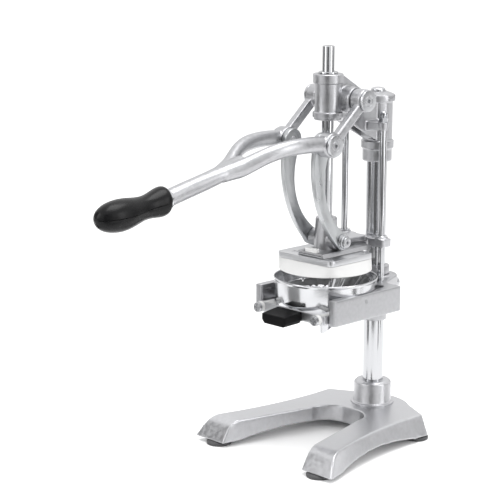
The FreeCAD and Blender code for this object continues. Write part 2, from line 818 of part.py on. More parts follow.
def make_yoke():
    body = new_body("yoke")
    x = value("Sizes.rod_x")
    y = value("Sizes.rod_y")
    bar = new_sketch(body, "XY", 237.0)
    outline(bar, (-38, y - 8), (-16, y - 8), (-13, y - 6), (13, y - 6), (16, y - 8), (38, y - 8),
            (40, y - 6), (40, y + 6), (38, y + 8), (17, y + 8), (13, y + 4), (-13, y + 4),
            (-17, y + 8), (-38, y + 8), (-40, y + 6), (-40, y - 6))
    pad(body, bar, 9.5)
    neck = new_sketch(body, "XY", 242.2)
    outline(neck, (-8, 11.0), (8, 11.0), (10, y - 4), (-10, y - 4))
    pad(body, neck, 6.0)
    for side in (1, -1):
        hub = new_sketch(body, "XY", 237.0)
        circle(hub, side * x, y, 8.2)
        pad(body, hub, 11.5)
    socket = new_sketch(body, "XY", 230.0)
    circle(socket, 0, 0, "Sizes.block_radius + 2.6")
    pocket(body, socket, 30.0)
    panel = new_sketch(body, "XZ", 6.0 - y)
    outline(panel, (-11, 238.0), (11, 238.0), (11, 241.4), (-11, 241.4))
    solid(body, "Pocket", panel, 2.0)
    holes = new_sketch(body, "XY", 230.0)
    for side in (1, -1):
        circle(holes, side * x, y, 6.0)
    pocket(body, holes, 25.0)
    for label, side in (("yoke_bush_right", 1), ("yoke_bush_left", -1)):
        bush = new_body(label)
        for low, high, radius in ((236.4, 248.5, 6.0), (248.5, 249.9, 7.6)):
            ring = new_sketch(bush, "XY", low)
            circle(ring, side * x, y, radius)
            pad(bush, ring, high - low)
        hole = new_sketch(bush, "XY", 230.0)
        circle(hole, side * x, y, "Sizes.rod_radius + Sizes.run_gap")
        pocket(bush, hole, 25.0)


# Bracket: a U-shaped casting that holds the cup, clamped on the column.


def bowl_steps(grow):
    """The cup's outer line below its rim, grown outwards, from the rim down to the funnel."""
    return [(61.2 + grow, 202.0), (60.6 + grow, 186.0), (59.4 + grow, 178.6), (55.4 + grow, 171.6 - grow),
            (50.0 + grow, 168.0 - grow), (44.0, 166.2 - grow)]


def make_bracket():
    body = new_body("bracket")
    front = value("Sizes.bracket_front")
    outer = value("Sizes.arm_outer")
    inner = value("Sizes.arm_inner")
    shape = new_sketch(body, "XY", "Sizes.bracket_low")
    outline(shape, (inner, front), (outer, front), (outer, 62.7), (49, 62.7), (41, 66, 36, 73), (24, 103),
            (0, 116.5, -24, 103), (-36, 73), (-41, 66, -49, 62.7), (-outer, 62.7), (-outer, front),
            (-inner, front), (-inner, 38), (-50.5, 46.5, -42, 50), (42, 50), (50.5, 46.5, inner, 38))
    pad(body, shape, "Sizes.bracket_top - Sizes.bracket_low")
    seat = new_sketch(body, "XZ")
    outline(seat, (0, 202.0), *bowl_steps(0.4), (0, 165.8))
    turned(body, "Groove", seat)
    for side in (1, -1):
        channel = new_sketch(body, "YZ", side * inner if side > 0 else -inner - 5.5)
        round_box(channel, front + 5.0, 171.5, 20.0, 188.5, 4.0)
        pocket(body, channel, 5.5)
    hub = new_sketch(body, "XY", "Sizes.bracket_low")
    circle(hub, 0, value("Sizes.column_y"), 22.5)
    pad(body, hub, 32.4)
    sleeve = new_sketch(body, "XY", 138.0)
    circle(sleeve, 0, value("Sizes.column_y"), 15.5)
    pad(body, sleeve, 40.0)
    bore = new_sketch(body, "XY", 130.0)
    circle(bore, 0, value("Sizes.column_y"), "Sizes.column_radius")
    pocket(body, bore, 80.0)
    holes = new_sketch(body, "XY", 160.0)
    for side in (1, -1):
        circle(holes, side * value("Sizes.rod_x"), value("Sizes.rod_y"), "Sizes.rod_radius")
    pocket(body, holes, 40.0)
    clamp = new_sketch(body, "XZ", -125.0)
    circle(clamp, 0, 178.0, 4.0)
    pocket(body, clamp, 24.0)
    fillet(body, 1.5, lambda edge: edge.BoundBox.ZLength > 20.0 and edge.CenterOfMass.y < front + 1.0,
           "Chamfer")
    for start in (inner, -outer):
        grub = new_sketch(body, "YZ", start)
        circle(grub, 0.6, 186.2, 1.8)
        pocket(body, grub, outer - inner)


def make_bracket_screw():
    """The set screw that clamps the bracket on the column, from behind."""
    body = new_body("bracket_clamp_screw")
    stem = new_sketch(body, "XZ", -124.0)
    circle(stem, 0, 178.0, 4.0)
    pad(body, stem, 22.3)
    head = new_sketch(body, "XZ", -130.0)
    circle(head, 0, 178.0, 6.5)
    pad(body, head, 6.0)
    key = new_sketch(body, "XZ", -130.0)
    hexagon(key, 0, 178.0, 5.0)
    pocket(body, key, 3.0)
    collar = new_body("column_collar")
    ring = new_sketch(collar, "XY", 195.9)
    circle(ring, 0, value("Sizes.column_y"), 17.8)
    pad(collar, ring, 10.3)
    fillet(collar, 1.0, at_height(206.2), "Chamfer")
    bore = new_sketch(collar, "XY", 190.0)
    circle(bore, 0, value("Sizes.column_y"), "Sizes.column_radius")
    pocket(collar, bore, 30.0)


# Cup and strainer.


def make_cup():
    """A spun stainless bowl with a rolled rim and a funnel spout."""
    thick = value("Sizes.sheet_thick")
    rim = value("Sizes.cup_rim")
    body = new_body("cup")
    skin = new_sketch(body, "XZ")
    outer = bowl_steps(0.0) + [(14.0, 158.0), (9.2, 155.6), (7.2, 152.4), (6.2, 136.0)]
    inner = [(6.2 - thick, 136.0), (6.1, 153.2), (8.6, 156.8), (13.6, 159.3), (43.6, 167.5), (54.4, 172.4),
             (58.3, 179.0), (60.6 - thick, 186.2)]
    wall = outer[0][0]
    lip = [(wall - thick, rim - 1.2), (wall - 0.4, rim - 0.3), (62.0, rim), (62.5, rim - 0.8),
           (62.5, rim - 3.0), (wall, rim - 3.6)]
    outline(skin, *(outer + inner + lip))
    turned(body, "Revolution", skin)
    tip = new_sketch(body, "YZ", -10.0)
    outline(tip, (8, 134), (8, 143), (-8, 134))
    pocket(body, tip, 20.0)


def make_strainer():
    """A perforated insert that holds the fruit above the funnel."""
    body = new_body("strainer")
    skin = new_sketch(body, "XZ")
    outline(skin, (0, 177.0), (42.0, 177.0), (51.5, 180.0), (57.6, 187.0), (59.2, 198.0),
            (58.2, 198.0), (56.4, 187.4), (50.8, 181.1), (42.0, 178.2), (0, 178.2))
    turned(body, "Revolution", skin)
    for count, ring, radius in ((6, 14.0, 3.0), (12, 31.0, 3.0)):
        hole = new_sketch(body, "XY", 170.0)
        circle(hole, ring, 0, radius)
        cut = pocket(body, hole, 12.0)
        pattern = body.newObject("PartDesign::PolarPattern", "strainer_holes")
        pattern.Originals = [cut]
        pattern.Axis = (hole, ["N_Axis"])
        pattern.Angle = 360.0
        pattern.Occurrences = count
        body.Tip = pattern


# Front bar: slides into the bracket's arms and carries the black knob.


def make_front_bar():
    front = -value("Sizes.bar_front")
    back = -value("Sizes.bar_back")
    body = new_body("front_bar")
    bar = new_sketch(body, "XZ", back)
    round_box(bar, -52.5, 164.5, 52.5, 176.3, 1.5)
    pad(body, bar, front - back)
    for side in (1, -1):
        tongue = new_sketch(body, "XZ", 33.0)
        left = min(side * 51.2, side * 53.6)
        outline(tongue, (left, 165.5), (left + 2.4, 165.5), (left + 2.4, 175.3), (left, 175.3))
        pad(body, tongue, back - 33.0 + 1.0)
    holes = new_sketch(body, "XZ", 50.0)
    for side in (1, -1):
        circle(holes, side * FRONT_SCREW_X, 171.0, SLEEVE_NECK)
        circle(holes, side * 9.0, 168.5, 2.0)
    pocket(body, holes, 20.0)


FRONT_SCREW_X = 45.6
SLEEVE_NECK = 4.0


def make_front_knob():
    front = -value("Sizes.bar_front")
    body = new_body("front_knob")
    back = new_sketch(body, "XZ", front)
    outline(back, (-16, 161.5), (16, 161.5), (19.5, 166), (19.5, 175.5), (-19.5, 175.5), (-19.5, 166))
    nose = new_sketch(body, "XZ", front + 28.0)
    outline(nose, (-15, 160.5), (15, 160.5), (19, 165), (19, 172.5), (-19, 172.5), (-19, 165))
    loft(body, [back, nose], ruled=True)
    fillet(body, 2.0, lambda edge: edge.CenterOfMass.y < -88.0)
    holes = new_sketch(body, "XZ", front - 1.0)
    for side in (1, -1):
        circle(holes, side * 9.0, 168.5, 2.0)
    pocket(body, holes, 11.0)
    pieces = []
    for side in (1, -1):
        start = Vector(side * 9.0, -(front + 9.0), 168.5)
        shank = Part.makeCylinder(2.0, 12.5, start, Vector(0, 1, 0))
        head = Part.makeCylinder(3.6, 2.4, Vector(side * 9.0, -(front - 3.5), 168.5), Vector(0, 1, 0))
        pieces.append(head.fuse(shank))
    add_shape("knob_screws", Part.makeCompound(pieces))


def make_front_screws():
    front = -value("Sizes.bar_front")
    for name, side in (("right", 1), ("left", -1)):
        x = side * FRONT_SCREW_X
        sleeve = new_body("nylon_sleeve_" + name)
        back = -value("Sizes.bar_back")
        for low, high, radius in ((42.0, back, 5.2), (back, front, SLEEVE_NECK), (front, front + 2.6, 5.2),
                                  (front + 2.6, front + 5.0, 6.6)):
            step = new_sketch(sleeve, "XZ", low)
            circle(step, x, 171.0, radius)
            pad(sleeve, step, high - low)
        hole = new_sketch(sleeve, "XZ", 40.0)
        circle(hole, x, 171.0, 2.5)
        pocket(sleeve, hole, 30.0)
        screw = new_body("front_screw_" + name)
        head = new_sketch(screw, "XZ", front + 5.0)
        circle(head, x, 171.0, 6.2)
        pad(screw, head, 3.6)
        fillet(screw, 0.6, lambda edge: abs(edge.CenterOfMass.y + front + 8.6) < 0.01, "Chamfer")
        shank = new_sketch(screw, "XZ", front - 8.0)
        circle(shank, x, 171.0, 2.5)
        pad(screw, shank, 13.0)
        for turn in (0, 1):
            slot = new_sketch(screw, "XZ", front + 7.4)
            wide, high = (9.0, 1.4) if turn else (1.4, 9.0)
            outline(slot, (x - wide / 2, 171 - high / 2), (x + wide / 2, 171 - high / 2),
                    (x + wide / 2, 171 + high / 2), (x - wide / 2, 171 + high / 2))
            pocket(screw, slot, 3.0)


def export_parts():
    """Recompute, check every object, and write one STEP file for each sub-part."""
    doc.recompute()
    broken = [item.Label for item in doc.Objects if "Invalid" in item.State or "Error" in item.State]
    if broken:
        raise RuntimeError("not valid: " + ", ".join(broken))
    os.makedirs("parts", exist_ok=True)
    for item in parts:
        shape = item.Shape
        if shape.isNull() or not shape.isValid():
            raise RuntimeError("%s has no valid shape" % item.Label)
        if item.isDerivedFrom("PartDesign::Body") and len(shape.Solids) != 1:
            raise RuntimeError("%s has %d solids" % (item.Label, len(shape.Solids)))
        shape.exportStep("parts/%s.step" % item.Label)
        print(item.Label, round(shape.Volume / 1000, 1), "cm3")


make_base()
make_feet()
make_foot_screws()
make_column()
make_column_cap()
make_guide_rods()
make_top_arm()
make_ram_bush()
make_lever()
make_grip()
make_pivot_bolts()
make_links()
make_ram()
make_slide_plate()
make_press_plate()
make_plate_screws()
make_yoke()
make_bracket()
make_bracket_screw()
make_cup()
make_strainer()
make_front_bar()
make_front_knob()
make_front_screws()
export_parts()
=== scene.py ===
import math

import bpy
from mathutils import Euler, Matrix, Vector


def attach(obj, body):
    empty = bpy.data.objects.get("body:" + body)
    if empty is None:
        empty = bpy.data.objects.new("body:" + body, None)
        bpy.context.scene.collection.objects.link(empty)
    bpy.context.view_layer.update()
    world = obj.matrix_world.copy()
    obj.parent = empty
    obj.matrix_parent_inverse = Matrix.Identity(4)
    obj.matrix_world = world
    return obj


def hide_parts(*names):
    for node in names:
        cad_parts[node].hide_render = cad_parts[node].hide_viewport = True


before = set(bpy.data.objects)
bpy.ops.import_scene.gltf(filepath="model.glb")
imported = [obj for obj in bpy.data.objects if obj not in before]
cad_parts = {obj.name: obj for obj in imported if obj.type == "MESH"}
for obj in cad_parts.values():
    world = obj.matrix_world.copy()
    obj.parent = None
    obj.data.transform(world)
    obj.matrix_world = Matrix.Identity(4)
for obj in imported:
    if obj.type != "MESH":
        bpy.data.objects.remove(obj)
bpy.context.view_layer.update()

# The studio: a plain pale floor, a pale room that darkens towards the horizon
# so that bare metal has something to reflect, soft boxes, and a long lens at
# the height of the press's handle.
camera_data = bpy.data.cameras.new("camera")
camera_data.lens = 123.318
camera_data.sensor_width = 36.0
camera_data.clip_end = 20.0
camera = bpy.data.objects.new("camera", camera_data)
camera.location = (1.34231, -1.35299, 0.66459)
camera.rotation_euler = Euler([math.radians(turn) for turn in (77.8334, -0.2323, 45.1512)], "XYZ")
bpy.context.scene.collection.objects.link(camera)
bpy.context.scene.camera = camera
bpy.context.scene.view_settings.view_transform = "Standard"

bpy.ops.object.select_all(action="DESELECT")
bpy.ops.mesh.primitive_plane_add(size=60.0, location=(0, 0, 0))
floor = bpy.context.object
floor.name = "floor"
floor_paint = bpy.data.materials.new("floor_paint")
floor_paint.use_nodes = True
floor_shader = floor_paint.node_tree.nodes["Principled BSDF"]
floor_shader.inputs["Base Color"].default_value = (0.92, 0.92, 0.92, 1)
floor_shader.inputs["Roughness"].default_value = 0.8
floor.data.materials.append(floor_paint)

world = bpy.data.worlds.new("studio_room")
bpy.context.scene.world = world
world.use_nodes = True
room = world.node_tree
room_glow = room.nodes["Background"]
room_glow.inputs["Strength"].default_value = 1.0
room_place = room.nodes.new("ShaderNodeTexCoord")
room_split = room.nodes.new("ShaderNodeSeparateXYZ")
room_ramp = room.nodes.new("ShaderNodeValToRGB")
room.links.new(room_place.outputs["Generated"], room_split.inputs[0])
room.links.new(room_split.outputs["Z"], room_ramp.inputs["Fac"])
room.links.new(room_ramp.outputs["Color"], room_glow.inputs["Color"])
room_ramp.color_ramp.elements[0].color = (0.55, 0.55, 0.55, 1)
room_ramp.color_ramp.elements[1].color = (1.3, 1.3, 1.3, 1)
for height, shade in ((0.03, 0.32), (0.10, 0.50), (0.19, 1.10), (0.45, 1.20)):
    stop = room_ramp.color_ramp.elements.new(height)
    stop.color = (shade, shade, shade, 1)

for name, spot, aim, wide, high, power in (
    ("soft_box_key", (-0.9, -1.9, 1.3), (0, 0, 0.25), 0.9, 1.4, 10.0),
    ("soft_box_side", (2.0, 0.6, 0.9), (0, 0, 0.25), 0.6, 1.5, 9.0),
    ("soft_box_top", (0.2, 0.2, 2.1), (0, 0, 0.2), 1.2, 1.2, 23.0),
):
    light_data = bpy.data.lights.new(name, "AREA")
    light_data.shape = "RECTANGLE"
    light_data.size = wide
    light_data.size_y = high
    light_data.energy = power
    light = bpy.data.objects.new(name, light_data)
    light.location = spot
    light.rotation_euler = (Vector(aim) - Vector(spot)).to_track_quat("-Z", "Y").to_euler()
    bpy.context.scene.collection.objects.link(light)

# Dark cards stand round the press out of sight: bare metal mirrors them as the
# dark stripes that a studio's unlit side leaves along its bars.
for name, bearing, distance, wide, low, high, shade in (
    ("card_front", -8.0, 0.75, 0.50, 0.0, 0.9, 0.10),
    ("card_left", -100.0, 0.80, 0.13, 0.0, 0.9, 0.03),
    ("card_right", 84.0, 0.80, 0.14, 0.0, 0.9, 0.05),
    ("card_toe", -91.0, 0.78, 0.46, 0.30, 0.75, 0.08),
    ("card_bowl_left", -76.0, 0.42, 0.26, 0.01, 0.17, 0.22),
    ("card_bowl_front", 6.0, 0.42, 0.44, 0.076, 0.15, 0.12),
    ("card_bowl_right", 66.0, 0.42, 0.07, 0.03, 0.15, 0.06),
):
    turn = math.radians(bearing) + math.atan2(camera.location.y, camera.location.x)
    put = (distance * math.cos(turn), 0.08 + distance * math.sin(turn), (low + high) / 2)
    bpy.ops.mesh.primitive_plane_add(size=1.0, location=put, rotation=(math.radians(90), 0, turn + math.radians(90)))
    card = bpy.context.object
    card.name = name
    card.scale = (wide, high - low, 1.0)
    card_paint = bpy.data.materials.new(name + "_paint")
    card_paint.use_nodes = True
    card_shader = card_paint.node_tree.nodes["Principled BSDF"]
    card_shader.inputs["Base Color"].default_value = (shade, shade, shade, 1)
    card_shader.inputs["Roughness"].default_value = 0.9
    card.data.materials.append(card_paint)
    card.visible_camera = False
    card.visible_diffuse = False
    card.visible_shadow = False

# Cast frame: base, bracket and top arm are sand-cast aluminium, fettled and
# tumbled until every edge is soft. Each is the frame's own solid, recast with
# rounded edges and a faint skin from the mould.
RAM_Y = 111.5


def at(x, y, z):
    """A place in millimetres from the ram's axis and the floor, in the frame's metres."""
    return Vector((x, y + RAM_Y, z)) / 1000


def put_down():
    """Nothing selected, in object mode, before a new piece is begun."""
    if bpy.context.object and bpy.context.object.mode != "OBJECT":
        bpy.ops.object.mode_set(mode="OBJECT")
    bpy.ops.object.select_all(action="DESELECT")


def take_up(piece):
    put_down()
    bpy.context.view_layer.objects.active = piece
    piece.select_set(True)


def fit(piece, kind, **sizes):
    """Add a modifier with these settings and apply it."""
    take_up(piece)
    tool = piece.modifiers.new(kind, kind)
    for setting, amount in sizes.items():
        setattr(tool, setting, amount)
    bpy.ops.object.modifier_apply(modifier=tool.name)


def copy_of(node, name):
    """A loose copy of one of the frame's solids, with its triangles joined up."""
    put_down()
    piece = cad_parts[node].copy()
    piece.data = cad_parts[node].data.copy()
    piece.parent = None
    piece.name = name
    for key in [key for key in piece.keys() if key.startswith("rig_")]:
        del piece[key]
    bpy.context.scene.collection.objects.link(piece)
    take_up(piece)
    bpy.ops.object.mode_set(mode="EDIT")
    bpy.ops.mesh.select_all(action="SELECT")
    bpy.ops.mesh.remove_doubles(threshold=0.00001)
    bpy.ops.object.mode_set(mode="OBJECT")
    return piece


def recast(piece, grain, passes):
    """Round every edge, as moulding and tumbling do: a fine remesh, then smoothing."""
    fit(piece, "REMESH", mode="VOXEL", voxel_size=grain / 1000)
    fit(piece, "SMOOTH", factor=0.5, iterations=passes)
    take_up(piece)
    bpy.ops.object.shade_smooth()


def finished(piece, body, finish, nodes, smooth=32):
    """Settle a piece: its place into its mesh, its finish and its body, and hide the frame's solids that it stands for.
    """
    take_up(piece)
    bpy.ops.object.transform_apply(location=True, rotation=True, scale=True)
    if smooth:
        bpy.ops.object.shade_smooth_by_angle(angle=math.radians(smooth))
    piece.data.materials.clear()
    piece.data.materials.append(finish)
    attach(piece, body)
    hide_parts(*nodes)


def skin_group():
    """Mottle and grain of a metal skin: a wide cloud, and a fine relief for the bump."""
    group = bpy.data.node_groups.new("metal_skin", "ShaderNodeTree")
    for socket, kind, way in (("Place", "NodeSocketVector", "INPUT"), ("Cloud size", "NodeSocketFloat", "INPUT"),
                              ("Grain size", "NodeSocketFloat", "INPUT"), ("Cloud", "NodeSocketFloat", "OUTPUT"),
                              ("Grain", "NodeSocketFloat", "OUTPUT")):
        group.interface.new_socket(name=socket, in_out=way, socket_type=kind)
    start = group.nodes.new("NodeGroupInput")
    end = group.nodes.new("NodeGroupOutput")
    for wanted, detail, rough, out in (("Cloud size", 4.0, 0.55, "Cloud"), ("Grain size", 3.0, 0.6, "Grain")):
        cloud = group.nodes.new("ShaderNodeTexNoise")
        cloud.inputs["Detail"].default_value = detail
        cloud.inputs["Roughness"].default_value = rough
        group.links.new(start.outputs["Place"], cloud.inputs["Vector"])
        group.links.new(start.outputs[wanted], cloud.inputs["Scale"])
        group.links.new(cloud.outputs["Fac"], end.inputs[out])
    return group


metal_skin = skin_group()


def metal(name, dark, light, rough, cloud, grain, relief, stretch=(1, 1, 1), metallic=1.0):
    """A bare metal or moulded surface whose tone, gloss and relief vary over it."""
    finish = bpy.data.materials.new(name)
    finish.use_nodes = True
    tree = finish.node_tree
    shader = tree.nodes["Principled BSDF"]
    shader.inputs["Metallic"].default_value = metallic
    place = tree.nodes.new("ShaderNodeTexCoord")
    turn = tree.nodes.new("ShaderNodeMapping")
    turn.inputs["Scale"].default_value = stretch
    skin = tree.nodes.new("ShaderNodeGroup")
    skin.node_tree = metal_skin
    skin.inputs["Cloud size"].default_value = cloud
    skin.inputs["Grain size"].default_value = grain
    tone = tree.nodes.new("ShaderNodeMix")
    tone.data_type = "RGBA"
    tone.inputs["A"].default_value = (*dark, 1)
    tone.inputs["B"].default_value = (*light, 1)
    gloss = tree.nodes.new("ShaderNodeMapRange")
    gloss.inputs["From Min"].default_value = 0.3
    gloss.inputs["From Max"].default_value = 0.7
    gloss.inputs["To Min"].default_value = rough[0]
    gloss.inputs["To Max"].default_value = rough[1]
    bump = tree.nodes.new("ShaderNodeBump")
    bump.inputs["Strength"].default_value = relief
    bump.inputs["Distance"].default_value = 0.0004
    tree.links.new(place.outputs["Object"], turn.inputs["Vector"])
    tree.links.new(turn.outputs["Vector"], skin.inputs["Place"])
    tree.links.new(skin.outputs["Cloud"], tone.inputs["Factor"])
    tree.links.new(skin.outputs["Cloud"], gloss.inputs["Value"])
    tree.links.new(skin.outputs["Grain"], bump.inputs["Height"])
    tree.links.new(tone.outputs["Result"], shader.inputs["Base Color"])
    tree.links.new(gloss.outputs["Result"], shader.inputs["Roughness"])
    tree.links.new(bump.outputs["Normal"], shader.inputs["Normal"])
    return finish


cast_aluminium = metal("cast_aluminium", (0.35, 0.352, 0.364), (0.50, 0.502, 0.517), (0.28, 0.42), 220.0, 800.0, 0.16)

# Feet: black rubber discs, each let into its leg's underside and held by a
# pan-head screw in a counterbore.


def drawn(name, places):
    """A chain of points joined by edges, through places in millimetres, left in edit mode."""
    put_down()
    bpy.ops.mesh.primitive_plane_add(size=0.001, location=at(0, 0, 0))
    piece = bpy.context.object
    piece.name = name
    bpy.ops.object.transform_apply(location=True)
    bpy.ops.object.mode_set(mode="EDIT")
    bpy.ops.mesh.select_all(action="SELECT")
    bpy.ops.mesh.merge(type="CENTER")
    bpy.ops.transform.translate(value=Vector(places[0]) / 1000)
    for near, far in zip(places, places[1:]):
        bpy.ops.mesh.extrude_region_move(TRANSFORM_OT_translate={"value": (Vector(far) - Vector(near)) / 1000})
    bpy.ops.mesh.select_all(action="SELECT")
    return piece


def turned(name, steps, rounds=64):
    """A lathe piece about the ram's axis, from (radius, height) steps, bottom to top."""
    piece = drawn(name, [(radius, 0, height) for radius, height in steps])
    bpy.ops.mesh.spin(steps=rounds, angle=math.tau, center=at(0, 0, 0), axis=(0, 0, 1))
    bpy.ops.mesh.select_all(action="SELECT")
    bpy.ops.mesh.remove_doubles(threshold=0.000004)
    bpy.ops.mesh.normals_make_consistent(inside=False)
    bpy.ops.object.mode_set(mode="OBJECT")
    return piece


def moved(piece, x, y, z, turn=(0, 0, 0)):
    """Set down a piece that was turned about the ram's axis at another place."""
    take_up(piece)
    bpy.context.scene.cursor.location = at(0, 0, 0)
    bpy.ops.object.origin_set(type="ORIGIN_CURSOR")
    piece.rotation_euler = [math.radians(part) for part in turn]
    piece.location = at(x, y, z)
    bpy.ops.object.transform_apply(location=True, rotation=True, scale=True)
    return piece


foot_rubber = metal("foot_rubber", (0.045, 0.045, 0.047), (0.070, 0.070, 0.073), (0.50, 0.70), 60.0, 1200.0, 0.3,
                    metallic=0.0)
for side_x, side_y, x, y in (("right", "front", 82.5, -96.0), ("left", "front", -82.5, -96.0),
                             ("right", "rear", 71.0, 89.0), ("left", "rear", -71.0, 89.0)):
    foot = turned("foot_pad_%s_%s" % (side_y, side_x),
                  [(2.2, 2.5), (4.6, 2.5), (4.6, 0.0), (14.2, 0.0), (14.9, 0.5), (15.2, 1.2), (15.2, 3.2),
                   (14.4, 3.9), (12.3, 4.9), (2.2, 4.9), (2.2, 2.5)])
    moved(foot, x, y, 0)
    finished(foot, "frame", foot_rubber, ["foot_%s_%s" % (side_y, side_x)])

# Base, bracket and top arm: each casting is rounded all over, the base's toes
# most, and then turned where the column, the ram and the guide rods go through.


def arc(across, up, radius, start, end, steps=12):
    """Points along an arc, from one angle in degrees to another."""
    turns = [math.radians(start + (end - start) * step / steps) for step in range(steps + 1)]
    return [(across + radius * math.cos(turn), up + radius * math.sin(turn)) for turn in turns]


def plate(name, points, low, high, bevel, segments=3):
    """A flat piece with this outline between two heights, its edges bevelled."""
    piece = drawn(name, [(x, y, low) for x, y in points])
    bpy.ops.mesh.edge_face_add()
    bpy.ops.mesh.extrude_region_move(TRANSFORM_OT_translate={"value": (0, 0, (high - low) / 1000)})
    bpy.ops.mesh.select_all(action="SELECT")
    bpy.ops.mesh.normals_make_consistent(inside=False)
    bpy.ops.object.mode_set(mode="OBJECT")
    if bevel:
        fit(piece, "BEVEL", width=bevel / 1000, segments=segments, limit_method="ANGLE",
            angle_limit=math.radians(50))
    return piece


def joined(name, pieces):
    """Several parts of one piece made into a single mesh."""
    put_down()
    for piece in pieces:
        piece.select_set(True)
    bpy.context.view_layer.objects.active = pieces[0]
    bpy.ops.object.join()
    pieces[0].name = name
    return pieces[0]


def cut(piece, cutter):
    """Take the cutter's shape away from the piece, and do away with the cutter."""
    fit(piece, "BOOLEAN", operation="DIFFERENCE", solver="EXACT", object=cutter)
    bpy.data.objects.remove(cutter)


def peg(x, y, z, radius, length, turn=(0, 90, 0), sides=40):
    """A plain bar, its middle at a place, lying along X unless turned."""
    put_down()
    bpy.ops.mesh.primitive_cylinder_add(vertices=sides, radius=radius / 1000, depth=length / 1000,
                                        location=at(x, y, z), rotation=[math.radians(part) for part in turn])
    bpy.ops.object.transform_apply(location=True, rotation=True)
    return bpy.context.object


# A lighter copy of the cast aluminium, with the same gloss and skin: painted light for the base and the yoke, standing
# in for the light that falls on them.
cast_aluminium_painted_light = metal("cast_aluminium_painted_light", (0.45, 0.452, 0.466), (0.60, 0.602, 0.62), (0.28, 0.42), 220.0, 800.0,
                          0.16)
castings = {}
for node, grain, passes in (("base", 1.2, 6), ("bracket", 1.0, 5), ("top_arm", 0.9, 5)):
    casting = copy_of(node, node + "_casting")
    if node == "base":
        toe = arc(-79.4, 8.5, 22.0, 90.0, 149.7, 14)
        corner = plate("toe_corner", [(-z, y) for y, z in toe + [(-125.0, 19.6), (-125.0, 45.0), (-79.4, 45.0)]],
                       -130.0, 130.0, 0)
        cut(casting, moved(corner, 0, 0, 0, (0, 90, 0)))
    recast(casting, grain, passes)
    castings[node] = casting
rings = {"base": [], "bracket": [], "top_arm": []}
for node, x, y, steps in (
    ("base", 0, 89.1, [(12.6, 30.0), (26.0, 30.0), (26.5, 30.5), (26.5, 32.6), (26.0, 33.2), (23.6, 33.6), (23.1, 34.4),
                       (23.1, 56.8), (22.5, 58.2), (20.9, 59.2), (16.5, 59.3), (16.2, 60.6), (15.6, 61.0),
                       (12.6, 61.0), (12.6, 30.0)]),
    ("top_arm", 0, 0, [(10.0, 393.1), (15.6, 393.1), (16.0, 393.5), (16.0, 395.8), (17.3, 396.0), (17.7, 396.4),
                       (17.7, 401.6), (17.3, 402.0), (15.7, 402.6), (15.4, 403.4), (15.4, 435.2), (17.0, 435.6),
                       (17.8, 436.4), (17.8, 445.8), (17.0, 446.6), (10.0, 446.6), (10.0, 393.1)]),
    ("top_arm", 0, 89.1, [(9.6, 408.0), (20.2, 408.0), (20.6, 408.4), (20.6, 413.6), (20.0, 415.2), (18.6, 416.0),
                          (11.0, 419.0), (9.6, 419.2), (9.6, 408.0)]),
    ("top_arm", 0, 89.1, [(12.6, 351.2), (19.4, 351.2), (19.8, 351.6), (19.8, 359.6), (19.4, 360.0), (12.6, 360.0),
                          (12.6, 351.2)]),
    ("top_arm", 29.8, 65.1, [(4.1, 380.0), (6.5, 380.0), (6.8, 385.0), (6.8, 386.4), (6.5, 386.8), (4.1, 386.8),
                             (4.1, 380.0)]),
    ("top_arm", -29.8, 65.1, [(4.1, 380.0), (6.5, 380.0), (6.8, 385.0), (6.8, 386.4), (6.5, 386.8), (4.1, 386.8),
                              (4.1, 380.0)]),
):
    ring = turned("machined_ring", steps, 96)
    ring.data.polygons.foreach_set("use_smooth", [True] * len(ring.data.polygons))
    take_up(ring)
    bpy.ops.object.shade_smooth_by_angle(angle=math.radians(32))
    rings[node].append(moved(ring, x, y, 0))
grub = turned("grub_screw", [(0, 58.0), (1.7, 58.0), (1.7, 63.6), (1.4, 64.0), (0.7, 64.0), (0.5, 63.4), (0, 63.4)], 24)
rings["bracket"].append(moved(grub, 0, 0.6, 186.2, (0, 90, 0)))
# The base takes the lighter copy of the cast aluminium, painted light; the bracket and the top arm take the plain cast
# aluminium.
for node, casting in castings.items():
    finished(joined(node + "_casting", [casting] + rings[node]), "frame",
             cast_aluminium_painted_light if node == "base" else cast_aluminium, [node], smooth=0)

# Column, guide rods and ram: ground and polished steel bar, with a bevel at
# each end.
polished_bar = metal("polished_bar", (0.48, 0.485, 0.50), (0.56, 0.565, 0.58), (0.09, 0.15), 24.0, 260.0, 0.04,
                     stretch=(1, 1, 0.12))
for name, node, body, radius, low, high, x, y in (
    ("column_bar", "column", "frame", 12.5, 18.0, 410.0, 0.0, 89.1),
    ("guide_bar_right", "guide_rod_right", "frame", 4.0, 157.0, 392.0, 29.8, 65.1),
    ("guide_bar_left", "guide_rod_left", "frame", 4.0, 157.0, 392.0, -29.8, 65.1),
    ("ram_bar", "ram_rod", "ram", 7.0, 252.0, 478.7, 0.0, 0.0),
):
    bar = turned(name, [(0, low), (radius - 0.8, low), (radius, low + 0.8), (radius, high - 0.9),
                        (radius - 0.25, high - 0.3), (radius - 0.9, high), (0, high)], 96)
    moved(bar, x, y, 0)
    finished(bar, body, polished_bar, [node])
collar = turned("collar_ring", [(12.6, 195.9), (17.3, 195.9), (17.8, 196.4), (17.8, 205.3), (17.5, 205.9),
                                (16.9, 206.2), (12.6, 206.2), (12.6, 195.9)], 96)
moved(collar, 0, 89.1, 0)
finished(collar, "frame", cast_aluminium, ["column_collar"])

# Column cap: a broad domed screw on top of the arm's socket.


def softened(steps, rounds=2):
    """Cut the corners off a line of steps until it runs smoothly; its two ends stay."""
    for _ in range(rounds):
        line = [steps[0]]
        for near, far in zip(steps, steps[1:]):
            line.append(tuple(0.75 * a + 0.25 * b for a, b in zip(near, far)))
            line.append(tuple(0.25 * a + 0.75 * b for a, b in zip(near, far)))
        steps = line + [steps[-1]]
    return steps


